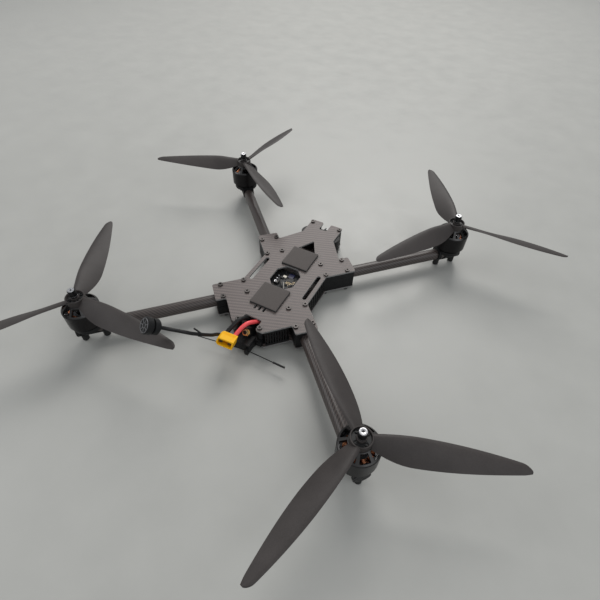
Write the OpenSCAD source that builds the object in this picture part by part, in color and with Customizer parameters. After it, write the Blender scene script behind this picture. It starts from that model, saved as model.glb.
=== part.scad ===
// Three-bladed, ten inch FPV quadcopter: two carbon plates, four round carbon arms,
// four outrunner motors. X is right, Y is forward, Z is up. The origin is on the
// underside of the belly plate, at the crossing of the four arms.

/* [Frame] */
// Distance from the frame centre to each motor axis, along the arm
motor_reach = 219; // [205:1:235]
// Thickness of each carbon plate
plate_t = 2; // [1.5:0.5:2.5]
// Clear height between the two plates
plate_gap = 23; // [22.5:0.5:26]
// Half of the body's width beside the electronics
body_half_w = 42; // [41.5:0.5:44]
// Outer diameter of the carbon arm tubes
tube_od = 14; // [13:0.5:14.5]
// Wall thickness of the carbon arm tubes
tube_wall = 1; // [0.8:0.1:1.5]
// Height of the belly above the ground
ground_gap = 4; // [3:0.5:10]

/* [Motors] */
// Outer radius of a motor bell
bell_r = 18.5; // [18.2:0.1:19.5]
// Number of windows in the top of a bell
bell_windows = 8; // [6:1:12]
// Rest angle of a spoke between two windows
bell_angle = 15; // [0:1:59]
// Number of magnets in a bell
magnet_count = 14; // [10:2:14]
// Number of wound stator teeth
tooth_count = 12; // [9:3:12]
// Bolt circle of the motor screws
motor_pcd = 25; // [24.5:0.5:26]

/* [Propellers] */
// Radius of the propeller disc
prop_r = 127; // [115:1:130]
// Helical pitch of the blades, per turn
prop_pitch = 146; // [100:1:170]
// Radius of the propeller hub
hub_r = 9.5; // [9:0.5:11]
// Rest angle of each propeller's first blade: front left, front right, rear left, rear right
prop_angle = [206, 121, 119, 16]; // [0:1:359]
// Turning sense of each propeller seen from above: 1 is anticlockwise, -1 is clockwise
prop_sense = [-1, -1, 1, 1]; // [-1, 1]

/* [Battery deck] */
// Side of each square foam pad
pad_side = 34; // [30:1:35]
// Thickness of the foam pads
pad_t = 3; // [2:0.5:5]
// Distance from the frame centre to the middle of each pad
pad_y = 36; // [35:0.5:37]

/* [Wiring] */
// Outer diameter of the battery leads
lead_d = 4.6; // [4:0.1:5]
// Outer diameter of the video antenna's cable
antenna_lead_d = 3.6; // [3:0.1:4]
// Width of the battery connector
connector_w = 17.5; // [17:0.5:21]

/* [Hidden] */

// Screw sizes: an M3 shank, its clearance hole and its button head
m3_r = 1.5;
m3_hole_r = 1.6;
m3_head_r = 2.75;
m3_head_h = 1.8;
m3_nut_r = 3.1;
m3_nut_h = 2.4;

// Heights
gap_z = plate_t;
deck_z = plate_t + plate_gap;
top_z = deck_z + plate_t;
tube_z = plate_t + plate_gap / 2;
mount_z = deck_z - 1;
mount_bottom_z = tube_z - tube_od / 2 - 2;
flange_z = mount_z - 4.4;
screw_seat_z = flange_z + 0.4;
base_t = 2.4;
bell_z = mount_z + 3.4;
rim_z = bell_z + 19.6;
seat_z = rim_z + 7;
hub_top_z = seat_z + 7;
blade_z = seat_z + 4.2;
nut_z = hub_top_z + 3;
nut_top_z = nut_z + 6.4;

// Arms: the quadrant of each, with front left first
QUADRANTS = [[-1, 1], [1, 1], [-1, -1], [1, -1]];
diag = sqrt(2);
clamp_screws = [[47.5, 9.5], [47.5, -9.5], [74.7, 9.5], [74.7, -9.5]];
clamp_start = 42;
clamp_end = 83;
clamp_half_w = 12;
tongue_half_w = 12.5;
tongue_end = 84;
tube_start = 43;
tube_tail = 9;
collar_r = tube_od / 2 + 1.3;
collar_end = 15;
foot_places = [-11.5, 11];
foot_r = 3.6;

// Plate outline
corner_r = 2;
corner_steps = 3;
notch_half_w = 5.5;
front_notch_y = 102;
front_y = 117;
prong_half_w = 22;
prong_root_y = 88;
rear_y = -83;
rear_half_w = 19;
rear_notch_half_w = 10.5;
rear_notch_y = -69;
front_screw = [19.4, 112];
rear_screw = [13.5, -79];
slot_x = 35;
slot_w = 5;
slot_len = 42;

// Motor internals
shaft_r = 2.5;
bearing_or = 5.5;
bearing_h = 4;
tower_r = 6.5;
stator_r = 15.3;
stator_h = 12;
stator_z = mount_z + 4.5;
bell_wall = 1.3;
magnet_t = 1.1;
spin_clearance = 0.05;

// Stack of circuit boards
stack_hole = 15.25;
esc_z = 8;
fc_z = 17;
board_t = 1.6;

// Camera
camera_pivot = [0, 106, tube_z];
camera_side = 14;
camera_hub_r = 1;

// Battery connector: the middle of its upper rear edge, then its turn, tilt and roll
connector_at = [-8.5, -100.5, 29.6];
connector_turn = 15;
connector_tilt = 21;
connector_roll = 13;
connector_len = 14;
connector_h = 9;
contact_gap = 9;
contact_r = 1.8;

// Cable routes, each from where it is held to its far end
RED_ROUTE = [
    [6, -24, 10.5], [6, -29, 10.8], [6, -40, 13.2], [6, -52, 15.6], [5.6, -61, 17.6],
    [4.8, -67, 20.3], [3.6, -72, 24.2], [1.8, -77, 27.7], [-0.3, -82, 29.4], [-2.3, -87.5, 28.6],
    [-3.8, -92, 26.5], [-4.8, -95.5, 24.9], [-5.1, -98.6, 24.2], [-4.7, -101.5, 24.6]
];
BLACK_ROUTE = [
    [-6, -24, 10.5], [-6, -29, 10.8], [-6, -40, 13.2], [-6.4, -52, 15.6], [-6.9, -61, 17.6],
    [-7.2, -67, 20.3], [-7.6, -72, 24.4], [-8.2, -76.8, 28.4], [-9.6, -82, 30.6], [-11.4, -88, 29.6],
    [-13, -93.8, 27.5], [-13.8, -97.2, 26.3], [-13.9, -100.2, 25.9], [-13.4, -103.1, 26.5]
];
ANTENNA_ROUTE = [
    [-14, -84.5, 6.5], [-14.2, -88.8, 7.2], [-15.4, -93.2, 9.7], [-17.5, -97.4, 13.8],
    [-19.8, -101.2, 19], [-20.2, -105.2, 25.4], [-19, -109.6, 31.4], [-18.8, -115.8, 37.5],
    [-20.3, -122.1, 44], [-22, -128.4, 51], [-24.6, -134.8, 58], [-28, -138.7, 62.2],
    [-32.4, -141.3, 64.2], [-36.9, -143.4, 65.4], [-40.8, -146, 67.5], [-43.4, -148.4, 70],
    [-45.1, -150.8, 72.6]
];
antenna_head_r = 8;
antenna_head_len = 15;
antenna_head_dir = [-0.42, -0.65, 0.65];

// Threaded antenna socket: the foot of its slanted boss, and lengths along its axis
jack_at = [1.2, -79, 13.4];
jack_r = 3.1;
jack_start = 2;
boss_len = 9;
jack_len = 12;

// ---------- Functions ----------

function unit(v) = v / norm(v);

// A point of the plate from its distances along and across a front right or rear right arm
function arm_point(along, across, s) = [(along + across) / diag, s * (along - across) / diag];

function mirrored(points) = [for (i = [len(points) - 1 : -1 : 0]) [-points[i][0], points[i][1]]];

// One corner b of an outline between a and c, rounded to radius r as an arc of steps + 1 points
function round_corner(a, b, c, r, steps) =
    let (
        u = unit(a - b),
        v = unit(c - b),
        half = acos(max(-1, min(1, u * v))) / 2,
        centre = b + unit(u + v) * r / sin(half),
        p = b + u * r / tan(half),
        q = b + v * r / tan(half),
        a0 = atan2(p[1] - centre[1], p[0] - centre[0]),
        a1 = atan2(q[1] - centre[1], q[0] - centre[0]),
        turn = a1 - a0 > 180 ? a1 - a0 - 360 : a1 - a0 < -180 ? a1 - a0 + 360 : a1 - a0
    )
    [for (i = [0 : steps]) let (t = a0 + turn * i / steps) centre + r * [cos(t), sin(t)]];

function rounded(points, r, steps = corner_steps) =
    let (n = len(points))
    [for (i = [0 : n - 1]) each round_corner(points[(i + n - 1) % n], points[i], points[(i + 1) % n], r, steps)];

function tongue(s) = [
    arm_point(72, -tongue_half_w, s),
    arm_point(tongue_end, -tongue_half_w, s),
    arm_point(tongue_end, tongue_half_w, s),
    arm_point(body_half_w * diag - tongue_half_w, tongue_half_w, s)
];

// Blade planform: how far the leading and the trailing edge stand from the radial line at radius r
function tip_start() = prop_r - 10;
function lead_edge(r) =
    (9.2 - 0.0012 * pow(r - 68, 2)) * sqrt(max(0, 1 - pow(max(0, r - tip_start()) / (prop_r - tip_start()), 2)));
function trail_edge(r) =
    r > 42 ? -11.7 * cos(90 * min(1, (r - 42) / (prop_r - 42))) : -11.7 + 5.6 * pow((42 - r) / 32, 2);
function blade_slope(r) = min(0.5 + 0.005 * max(0, r - 12), prop_pitch / (2 * PI * r));
function blade_t(r) = 1.1 + 2.2 * pow(1 - r / prop_r, 1.5);

// One section of a blade: chord fraction along, and the share of thickness above the chord line
SECTION = [
    [0, 0], [0.1, 0.62], [0.3, 1], [0.6, 0.85], [0.85, 0.45], [1, 0.1],
    [1, -0.1], [0.6, 0.15], [0.3, 0.05], [0.1, -0.25]
];
STATIONS = [7.5, 13, 17.5, 22, 30, 39, 49, 60, 72, 84, 96, 106, 114, 119, 123, 125.5, 126.8];
function blade_section(r, s) =
    let (lead = lead_edge(r) + 0.25, trail = trail_edge(r) - 0.25, slope = blade_slope(r), t = blade_t(r))
    [for (p = SECTION) let (v = lead + (trail - lead) * p[0]) [r, s * v, v * slope + t * (p[1] - 0.35)]];

// Faces of a skin over rings of n points each, closed by a cap at both ends
function skin_faces(rings, n, flip) = [
    for (i = [0 : rings - 2])
        for (j = [0 : n - 1])
            let (a = i * n + j, b = i * n + (j + 1) % n)
            each flip ? [[a, b, a + n], [b, b + n, a + n]] : [[a, a + n, b], [b, a + n, b + n]],
    flip ? [for (j = [n - 1 : -1 : 0]) j] : [for (j = [0 : n - 1]) j],
    flip ? [for (j = [0 : n - 1]) (rings - 1) * n + j] : [for (j = [n - 1 : -1 : 0]) (rings - 1) * n + j]
];

// Cable: a Catmull-Rom curve through the route, with three rings for each stretch
function spline_at(p, i, t) =
    let (
        a = p[max(0, i - 1)],
        b = p[i],
        c = p[i + 1],
        e = p[min(len(p) - 1, i + 2)]
    )
    0.5 * (2 * b + (c - a) * t + (2 * a - 5 * b + 4 * c - e) * t * t + (3 * b - a - 3 * c + e) * t * t * t);
function spline(p, steps) = [
    for (i = [0 : len(p) - 2]) for (k = [0 : steps - 1]) spline_at(p, i, k / steps),
    p[len(p) - 1]
];
function heading(path, i) = unit(path[min(len(path) - 1, i + 1)] - path[max(0, i - 1)]);
function ring(centre, dir, r, sides) =
    let (side = unit(cross([0.3, 0.2, 1], dir)), up = cross(dir, side))
    [for (k = [0 : sides - 1]) centre + r * (side * cos(360 * k / sides) + up * sin(360 * k / sides))];

// ---------- Shared shapes ----------

module at_arm(q) {
    rotate([0, 0, atan2(QUADRANTS[q][1], QUADRANTS[q][0])])
        children();
}

module at_motor(q) {
    at_arm(q)
        translate([motor_reach, 0, 0])
            children();
}

module every_motor() {
    for (q = [0 : 3])
        at_motor(q) children();
}

module tube_along(route, d, sides) {
    path = spline(route, 3);
    points = [for (i = [0 : len(path) - 1]) each ring(path[i], heading(path, i), d / 2, sides)];
    polyhedron(points = points, faces = skin_faces(len(path), sides, false), convexity = 6);
}

module hollow(r_out, r_in, h) {
    difference() {
        cylinder(h = h, r = r_out, $fn = 64);
        translate([0, 0, -1])
            cylinder(h = h + 2, r = r_in, $fn = 48);
    }
}

// Arc shaped sector between two radii, centred on +X
function sector(r0, r1, half_angle, steps) = concat(
    [for (i = [0 : steps]) let (a = -half_angle + 2 * half_angle * i / steps) r1 * [cos(a), sin(a)]],
    [for (i = [0 : steps]) let (a = half_angle - 2 * half_angle * i / steps) r0 * [cos(a), sin(a)]]
);

// ---------- Carbon plates ----------

module plate_outline() {
    half = concat(
        [
            [notch_half_w, front_notch_y],
            [notch_half_w, front_y],
            [prong_half_w, front_y],
            [prong_half_w, prong_root_y]
        ],
        tongue(1),
        [for (i = [3 : -1 : 0]) tongue(-1)[i]],
        [
            [rear_half_w, rear_y],
            [rear_notch_half_w, rear_y],
            [rear_notch_half_w, rear_notch_y]
        ]
    );
    polygon(rounded(concat(half, mirrored(half)), corner_r));
}

module side_slot() {
    linear_extrude(plate_t + 2) {
        square([slot_w, slot_len - slot_w], center = true);
        for (s = [-1, 1])
            translate([0, s * (slot_len - slot_w) / 2])
                circle(r = slot_w / 2, $fn = 32);
    }
}

module plate_drillings() {
    for (q = [0 : 3])
        at_arm(q)
            for (p = clamp_screws)
                translate([p[0], p[1], -1])
                    cylinder(h = plate_t + 2, r = m3_hole_r, $fn = 32);
    for (s = [-1, 1]) {
        for (p = [front_screw, rear_screw])
            translate([s * p[0], p[1], -1])
                cylinder(h = plate_t + 2, r = m3_hole_r, $fn = 32);
        translate([s * slot_x, 0, -1])
            side_slot();
    }
}

module top_plate() {
    window = [[15.5, 9.5], [7, 19], [-7, 19], [-15.5, 9.5], [-15.5, -9.5], [-7, -19], [7, -19], [15.5, -9.5]];
    gusset = [[0, 76], [14.5, 50], [-14.5, 50]];
    color("dimgray")
        translate([0, 0, deck_z])
            difference() {
                linear_extrude(plate_t)
                    plate_outline();
                plate_drillings();
                translate([0, 0, -1])
                    linear_extrude(plate_t + 2) {
                        polygon(rounded(window, 1.5));
                        polygon(rounded(gusset, 1));
                    }
                for (x = [-6.5, -1, 4.5])
                    translate([x - 1.3, -58, -1])
                        cube([2.6, 9, plate_t + 2]);
            }
}

module bottom_plate() {
    color("dimgray")
        difference() {
            linear_extrude(plate_t)
                plate_outline();
            plate_drillings();
            for (x = [-1, 1])
                for (y = [-1, 1]) {
                    translate([x * stack_hole, y * stack_hole, -1])
                        cylinder(h = plate_t + 2, r = m3_hole_r, $fn = 32);
                    translate([x * 10, y * 45, -1])
                        cylinder(h = plate_t + 2, r = m3_hole_r, $fn = 32);
                }
        }
}

// ---------- Arms ----------

module arm_tube(q) {
    color("#2b2b2e")
        at_arm(q)
            translate([tube_start, 0, tube_z])
                rotate([0, 90, 0])
                    hollow(tube_od / 2, tube_od / 2 - tube_wall, motor_reach + tube_tail - tube_start);
}

module arm_clamp(q) {
    color("#161617")
        at_arm(q)
            difference() {
                translate([clamp_start, -clamp_half_w, gap_z])
                    cube([clamp_end - clamp_start, 2 * clamp_half_w, plate_gap]);
                translate([clamp_start - 1, 0, tube_z])
                    rotate([0, 90, 0])
                        cylinder(h = clamp_end - clamp_start + 2, r = tube_od / 2, $fn = 64);
                translate([clamp_start - 1, 0, tube_z - 0.4])
                    cube([clamp_end - clamp_start + 2, clamp_half_w + 1, 0.8]);
                for (p = clamp_screws)
                    translate([p[0], p[1], gap_z - 1])
                        cylinder(h = plate_gap + 2, r = m3_hole_r, $fn = 32);
            }
}

module motor_screw_places() {
    for (a = [45 : 90 : 315])
        rotate([0, 0, a])
            translate([motor_pcd / 2, 0, 0])
                children();
}

module motor_mount(q) {
    color("#161617")
        at_motor(q)
            difference() {
                union() {
                    translate([0, 0, flange_z])
                        cylinder(h = mount_z - flange_z, r = 16, $fn = 72);
                    translate([-15.8, 0.4 - collar_r, tube_z + 1])
                        cube([15.4 + collar_end, 2 * collar_r - 0.8, mount_z - tube_z - 1.5]);
                    translate([-16, 0, tube_z])
                        rotate([0, 90, 0])
                            cylinder(h = 16 + collar_end, r = collar_r, $fn = 64);
                    for (x = foot_places)
                        translate([x, 0, mount_bottom_z])
                            cylinder(h = 4, r = foot_r, $fn = 40);
                }
                translate([-20, 0, tube_z])
                    rotate([0, 90, 0])
                        cylinder(h = 20 + tube_tail, r = tube_od / 2, $fn = 64);
                translate([-20, -0.5, mount_bottom_z - 1])
                    cube([20 + tube_tail, 1, 6]);
                motor_screw_places() {
                    translate([0, 0, flange_z - 1])
                        cylinder(h = mount_z - flange_z + 2, r = m3_hole_r, $fn = 32);
                    translate([0, 0, mount_bottom_z - 1])
                        cylinder(h = screw_seat_z - mount_bottom_z + 1, r = m3_head_r + 0.35, $fn = 36);
                }
            }
}

module landing_feet() {
    color("#101011")
        every_motor()
            for (x = foot_places)
                translate([x, 0, 0])
                    rotate_extrude($fn = 40)
                        polygon([
                            [0, -ground_gap], [foot_r - 0.9, -ground_gap], [foot_r, 0.9 - ground_gap],
                            [foot_r, mount_bottom_z], [0, mount_bottom_z]
                        ]);
}

// ---------- Motors: the parts that stand still ----------

module motor_bases() {
    color("#1c1c1e")
        every_motor()
            translate([0, 0, mount_z])
                difference() {
                    union() {
                        cylinder(h = base_t, r = 15.2, $fn = 72);
                        cylinder(h = 19, r = tower_r, $fn = 64);
                    }
                    translate([0, 0, -1])
                        cylinder(h = 4, r = 3.2, $fn = 32);
                    translate([0, 0, 1.5])
                        cylinder(h = 20, r = bearing_or, $fn = 64);
                    motor_screw_places()
                        translate([0, 0, -1])
                            cylinder(h = base_t + 2, r = m3_r, $fn = 32);
                }
}

module motor_bearings() {
    color("silver")
        every_motor()
            for (z = [2, 15])
                translate([0, 0, mount_z + z])
                    hollow(bearing_or, shaft_r + spin_clearance, bearing_h);
}

module stators() {
    yoke_r = 9.6;
    tooth_w = 2.2;
    pitch = 360 / tooth_count;
    color("#8f9196")
        every_motor()
            translate([0, 0, stator_z])
                linear_extrude(stator_h) {
                    difference() {
                        circle(r = yoke_r, $fn = 64);
                        circle(r = tower_r, $fn = 64);
                    }
                    for (i = [0 : tooth_count - 1])
                        rotate([0, 0, i * pitch]) {
                            translate([yoke_r - 0.6, -tooth_w / 2])
                                square([stator_r - yoke_r, tooth_w]);
                            polygon(sector(stator_r - 1.6, stator_r, pitch / 2 - 2.5, 4));
                        }
                }
}

module windings() {
    coil_w = 4.7;
    coil_over = 1.3;
    tooth_w = 2.2;
    color("#a8552c")
        every_motor()
            for (i = [0 : tooth_count - 1])
                rotate([0, 0, i * 360 / tooth_count])
                    translate([9.9, 0, stator_z])
                        difference() {
                            translate([0, -coil_w / 2, -coil_over])
                                cube([3.5, coil_w, stator_h + 2 * coil_over]);
                            translate([-1, -tooth_w / 2, 0])
                                cube([5.5, tooth_w, stator_h]);
                        }
}

// ---------- Motors: the parts that turn ----------

module motor_bell(q) {
    inner = bell_r - bell_wall;
    pitch = 360 / bell_windows;
    color("#1b1b1d")
        at_motor(q) {
            difference() {
                rotate_extrude($fn = 96)
                    polygon([
                        [inner, bell_z], [bell_r, bell_z], [bell_r, rim_z - 0.6], [bell_r - 0.7, rim_z + 0.3],
                        [hub_r + 0.3, seat_z], [0, seat_z], [0, seat_z - 9.5], [5, seat_z - 9.5],
                        [5, seat_z - 4.5], [hub_r - 0.9, seat_z - 2.3], [inner, rim_z - 2.6]
                    ]);
                for (i = [0 : bell_windows - 1])
                    rotate([0, 0, (i + 0.5) * pitch + bell_angle])
                        translate([0, 0, rim_z - 6])
                            linear_extrude(20)
                                polygon(rounded(sector(10.4, 16.7, pitch / 2 - 5.5, 4), 0.5, 2));
            }
            translate([0, 0, mount_z + 1.6])
                cylinder(h = nut_z + 2 - mount_z - 1.6, r = shaft_r, $fn = 48);
        }
}

module magnets(q) {
    r1 = bell_r - bell_wall;
    color("#c4c6ca")
        at_motor(q)
            for (i = [0 : magnet_count - 1])
                rotate([0, 0, i * 360 / magnet_count])
                    translate([0, 0, stator_z - 0.5])
                        linear_extrude(stator_h + 1)
                            polygon(sector(r1 - magnet_t, r1 - 0.03, 180 / magnet_count - 2, 6));
}

module blade(s) {
    points = [for (r = STATIONS) each blade_section(min(r, prop_r - 0.2), s)];
    polyhedron(points = points, faces = skin_faces(len(STATIONS), len(SECTION), s < 0), convexity = 4);
}

module propeller(q) {
    color("#3d3b3b")
        at_motor(q)
            rotate([0, 0, prop_angle[q] - atan2(QUADRANTS[q][1], QUADRANTS[q][0])])
                difference() {
                    union() {
                        for (i = [0 : 2])
                            rotate([0, 0, 120 * i])
                                translate([0, 0, blade_z])
                                    blade(prop_sense[q]);
                        translate([0, 0, seat_z])
                            cylinder(h = hub_top_z - seat_z, r = hub_r, $fn = 72);
                    }
                    translate([0, 0, seat_z - 5])
                        cylinder(h = 20, r = shaft_r, $fn = 48);
                    for (a = [45 : 90 : 315])
                        rotate([0, 0, a])
                            translate([6.3, 0, seat_z - 5])
                                cylinder(h = 20, r = 1.5, $fn = 28);
                }
}

module prop_nut(q) {
    color("#d0d2d6")
        at_motor(q)
            difference() {
                union() {
                    translate([0, 0, hub_top_z])
                        cylinder(h = nut_z - hub_top_z, r = 3.1, $fn = 40);
                    translate([0, 0, nut_z])
                        cylinder(h = nut_top_z - nut_z - 0.6, r = 3.9, $fn = 48);
                    translate([0, 0, nut_top_z - 0.6])
                        cylinder(h = 0.6, r = 3.3, $fn = 48);
                }
                translate([0, 0, hub_top_z - 1])
                    cylinder(h = nut_z + 3 - hub_top_z, r = shaft_r, $fn = 48);
                translate([0, 0, nut_top_z - 2])
                    cylinder(h = 3, r = 0.8, $fn = 24);
            }
}

// ---------- Electronics ----------

module board(side, z) {
    translate([0, 0, z])
        difference() {
            translate([-side / 2, -side / 2, 0])
                cube([side, side, board_t]);
            for (x = [-1, 1])
                for (y = [-1, 1])
                    translate([x * stack_hole, y * stack_hole, -1])
                        cylinder(h = board_t + 2, r = m3_hole_r, $fn = 32);
        }
}

module flight_controller() {
    top = fc_z + board_t;
    color("#17191d") {
        board(37, fc_z);
        translate([1, 2, top])
            cube([7, 7, 1.1]);
        translate([-9, 4, top])
            cube([4, 3, 1.4]);
        translate([-12, -7, top])
            cube([5.5, 4.5, 2.6]);
        translate([-4, -17, top])
            cube([9, 4.5, 3]);
        translate([9, -9, top])
            cube([3.2, 2.6, 1.2]);
    }
}

module speed_controller() {
    color("#141518") {
        board(40, esc_z);
        for (s = [-1, 1])
            for (y = [-9, 0, 9])
                translate([s * 14 - 3, y - 3, esc_z + board_t])
                    cube([6, 6, 1.2]);
        for (s = [-1, 1])
            translate([s * 6 - 3, -24, esc_z])
                cube([6, 4.5, 5]);
    }
}

module stack_posts() {
    color("#2a2a2c")
        for (x = [-1, 1])
            for (y = [-1, 1])
                translate([x * stack_hole, y * stack_hole, 0]) {
                    translate([0, 0, -m3_head_h])
                        cylinder(h = m3_head_h, r = m3_head_r, $fn = 36);
                    cylinder(h = deck_z - 1, r = m3_r, $fn = 32);
                    translate([0, 0, gap_z])
                        cylinder(h = esc_z - gap_z, r = 2.6, $fn = 36);
                    translate([0, 0, esc_z + board_t])
                        cylinder(h = fc_z - esc_z - board_t, r = 2.6, $fn = 36);
                    translate([0, 0, fc_z + board_t])
                        cylinder(h = m3_nut_h, r = m3_nut_r, $fn = 6);
                }
}

module capacitor() {
    color("#20304a")
        translate([-17, -29, gap_z]) {
            cylinder(h = 17, r = 5, $fn = 48);
            cylinder(h = 17.6, r = 3.8, $fn = 40);
        }
}

module receiver() {
    color("#1f2a22") {
        translate([-8, 26, gap_z])
            cube([16, 12, 1.4]);
        translate([-5, 28.5, gap_z + 1.4])
            cube([8, 6, 1]);
    }
}

module video_transmitter() {
    fin_gap = 3;
    color("#1a1a1c")
        translate([-15, -66, gap_z]) {
            cube([30, 28, 4]);
            for (x = [0 : fin_gap : 27])
                translate([x + 1, 1, 4])
                    cube([1.2, 26, 3.5]);
        }
}

// ---------- Camera ----------

module camera_mount() {
    color("#141415")
        for (s = [-1, 1])
            difference() {
                intersection() {
                    union() {
                        translate([s > 0 ? 7.6 : -21.5, 84, gap_z])
                            cube([13.9, 31, plate_gap]);
                        translate([s * 15.4, 95, gap_z])
                            cylinder(h = plate_gap, r = 11, $fn = 72);
                    }
                    translate([s > 0 ? 7.6 : -32.6, 80, gap_z - 1])
                        cube([25, 36, plate_gap + 2]);
                }
                translate([s * front_screw[0], front_screw[1], 0])
                    cylinder(h = deck_z + 1, r = m3_hole_r, $fn = 32);
                translate([s * 15 - 20, camera_pivot[1], camera_pivot[2]])
                    rotate([0, 90, 0])
                        cylinder(h = 40, r = camera_hub_r + spin_clearance, $fn = 32);
            }
}

module camera_housing() {
    half = camera_side / 2;
    color("#202124")
        translate(camera_pivot)
            difference() {
                union() {
                    translate([-half, -half, -half])
                        cube([camera_side, camera_side - 2, camera_side]);
                    translate([0, half - 2, 0])
                        rotate([-90, 0, 0])
                            cylinder(h = 2.4, r = 6.4, $fn = 56);
                }
                translate([0, half - 3.5, 0])
                    rotate([-90, 0, 0])
                        cylinder(h = 6, r = 4.6, $fn = 48);
                for (s = [-1, 1])
                    translate([s * (half - 2) - 2, 0, 0])
                        rotate([0, 90, 0])
                            cylinder(h = 4, r = camera_hub_r, $fn = 32);
            }
}

module camera_lens() {
    color("#0d1018")
        translate(camera_pivot)
            translate([0, camera_side / 2 - 3.5, 0])
                rotate([-90, 0, 0])
                    difference() {
                        union() {
                            cylinder(h = 5, r = 4.6, $fn = 48);
                            translate([0, 0, 5])
                                cylinder(h = 4, r = 5.2, $fn = 48);
                        }
                        translate([0, 0, 7.6])
                            cylinder(h = 3, r = 4, $fn = 40);
                    }
}

module camera_screws() {
    color("silver")
        for (s = [-1, 1])
            translate(camera_pivot)
                rotate([0, s * 90, 0])
                    translate([0, 0, camera_side / 2 - 3])
                        cylinder(h = 11, r = camera_hub_r, $fn = 32);
}

// ---------- Printed parts ----------

module guard_wall(len, t, ribs) {
    step = len / ribs;
    difference() {
        cube([len, t, plate_gap]);
        for (i = [0 : ribs - 1])
            translate([(i + 0.28) * step, -1, 3])
                cube([step * 0.44, t + 2, plate_gap - 6]);
    }
}

module vent_guards() {
    color("#121213") {
        translate([body_half_w - 0.6, -21, gap_z])
            rotate([0, 0, 90])
                guard_wall(42, 2.6, 8);
        translate([rear_half_w + 1.5, rear_y + 2.3, gap_z])
            rotate([0, 0, 45])
                guard_wall(26, 2.6, 9);
    }
}

module at_jack() {
    translate(jack_at)
        rotate([45, 0, 0])
            children();
}

module rear_mount() {
    color("#151516")
        difference() {
            union() {
                translate([-17, -84.5, gap_z])
                    cube([34, 9.5, 9]);
                for (s = [-1, 1])
                    translate([s * rear_screw[0], rear_screw[1], gap_z])
                        cylinder(h = plate_gap, r = 3.6, $fn = 40);
                translate([-9, -97, gap_z])
                    cube([19, 14, 12]);
                at_jack()
                    translate([0, 0, -4])
                        cylinder(h = boss_len + 4, r = 4.6, $fn = 48);
                translate([6, -100.5, gap_z])
                    cube([4, 5, 7.5]);
            }
            for (s = [-1, 1])
                translate([s * rear_screw[0], rear_screw[1], 0])
                    cylinder(h = deck_z + 1, r = m3_hole_r, $fn = 32);
            at_jack()
                translate([0, 0, jack_start])
                    cylinder(h = boss_len, r = jack_r, $fn = 48);
        }
}

module antenna_jack() {
    color("gold")
        at_jack()
            difference() {
                union() {
                    translate([0, 0, jack_start])
                        cylinder(h = jack_len, r = jack_r, $fn = 48);
                    translate([0, 0, boss_len])
                        cylinder(h = 1.2, r = 4, $fn = 6);
                }
                translate([0, 0, jack_start + jack_len - 3])
                    cylinder(h = 4, r = 2.3, $fn = 40);
                translate([0, 0, jack_start + jack_len - 6])
                    cylinder(h = 4, r = 0.6, $fn = 24);
            }
}

module foam_pad(s) {
    color("#5c5854")
        translate([1 - pad_side / 2, s * pad_y - pad_side / 2, top_z])
            cube([pad_side, pad_side, pad_t]);
}

// ---------- Fasteners ----------

module through_bolt() {
    difference() {
        translate([0, 0, top_z])
            cylinder(h = m3_head_h, r = m3_head_r, $fn = 40);
        translate([0, 0, top_z + 0.7])
            cylinder(h = 2, r = 1.25, $fn = 6);
    }
    translate([0, 0, -0.5])
        cylinder(h = top_z + 0.6, r = m3_r, $fn = 32);
    translate([0, 0, -m3_nut_h])
        cylinder(h = m3_nut_h, r = m3_nut_r, $fn = 6);
}

module frame_screws() {
    color("#232325") {
        for (q = [0 : 3])
            at_arm(q)
                for (p = clamp_screws)
                    translate([p[0], p[1], 0])
                        through_bolt();
        for (s = [-1, 1])
            for (p = [front_screw, rear_screw])
                translate([s * p[0], p[1], 0])
                    through_bolt();
    }
}

module motor_screws() {
    color("#232325")
        every_motor()
            motor_screw_places() {
                translate([0, 0, screw_seat_z - m3_head_h])
                    difference() {
                        cylinder(h = m3_head_h, r = m3_head_r, $fn = 36);
                        translate([0, 0, -1])
                            cylinder(h = 2, r = 1.25, $fn = 6);
                    }
                translate([0, 0, screw_seat_z - 0.1])
                    cylinder(h = mount_z + base_t - screw_seat_z, r = m3_r, $fn = 32);
            }
}

// ---------- Wiring ----------

module motor_leads() {
    lay_r = tube_od / 2 - tube_wall - 1.1;
    color("#26262a")
        for (q = [0 : 3])
            at_arm(q)
                for (a = [-26, 0, 26])
                    translate([30, lay_r * sin(a), tube_z - lay_r * cos(a)])
                        rotate([0, 90, 0])
                            cylinder(h = motor_reach - 24, r = 1, $fn = 20);
}

module at_connector() {
    translate(connector_at)
        rotate([0, 0, connector_turn])
            rotate([-connector_tilt, 0, 0])
                rotate([0, connector_roll, 0])
                    translate([0, -connector_len, -connector_h])
                        children();
}

module battery_connector() {
    wall = 1.5;
    bevel = 2.2;
    half = connector_w / 2;
    pocket = connector_len / 2;
    color("#f0b020")
        at_connector()
            difference() {
                translate([0, connector_len, 0])
                    rotate([90, 0, 0])
                        linear_extrude(connector_len)
                            polygon([
                                [bevel - half, 0], [half, 0], [half, connector_h],
                                [bevel - half, connector_h], [-half, connector_h - bevel], [-half, bevel]
                            ]);
                translate([wall - half, -1, wall])
                    cube([connector_w - 2 * wall, pocket + 1, connector_h - 2 * wall]);
                for (s = [-1, 1])
                    translate([s * contact_gap / 2, connector_len + 1, connector_h / 2])
                        rotate([90, 0, 0])
                            cylinder(h = connector_len - 4, r = contact_r, $fn = 36);
            }
}

module connector_pins() {
    color("gold")
        at_connector()
            for (s = [-1, 1])
                translate([s * contact_gap / 2, connector_len - 2, connector_h / 2])
                    rotate([90, 0, 0])
                        cylinder(h = connector_len - 4, r = contact_r, $fn = 36);
}

module power_lead_red() {
    color("#e04a52")
        tube_along(RED_ROUTE, lead_d, 10);
}

module power_lead_black() {
    color("#1a1a1a")
        tube_along(BLACK_ROUTE, lead_d, 10);
}

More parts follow.
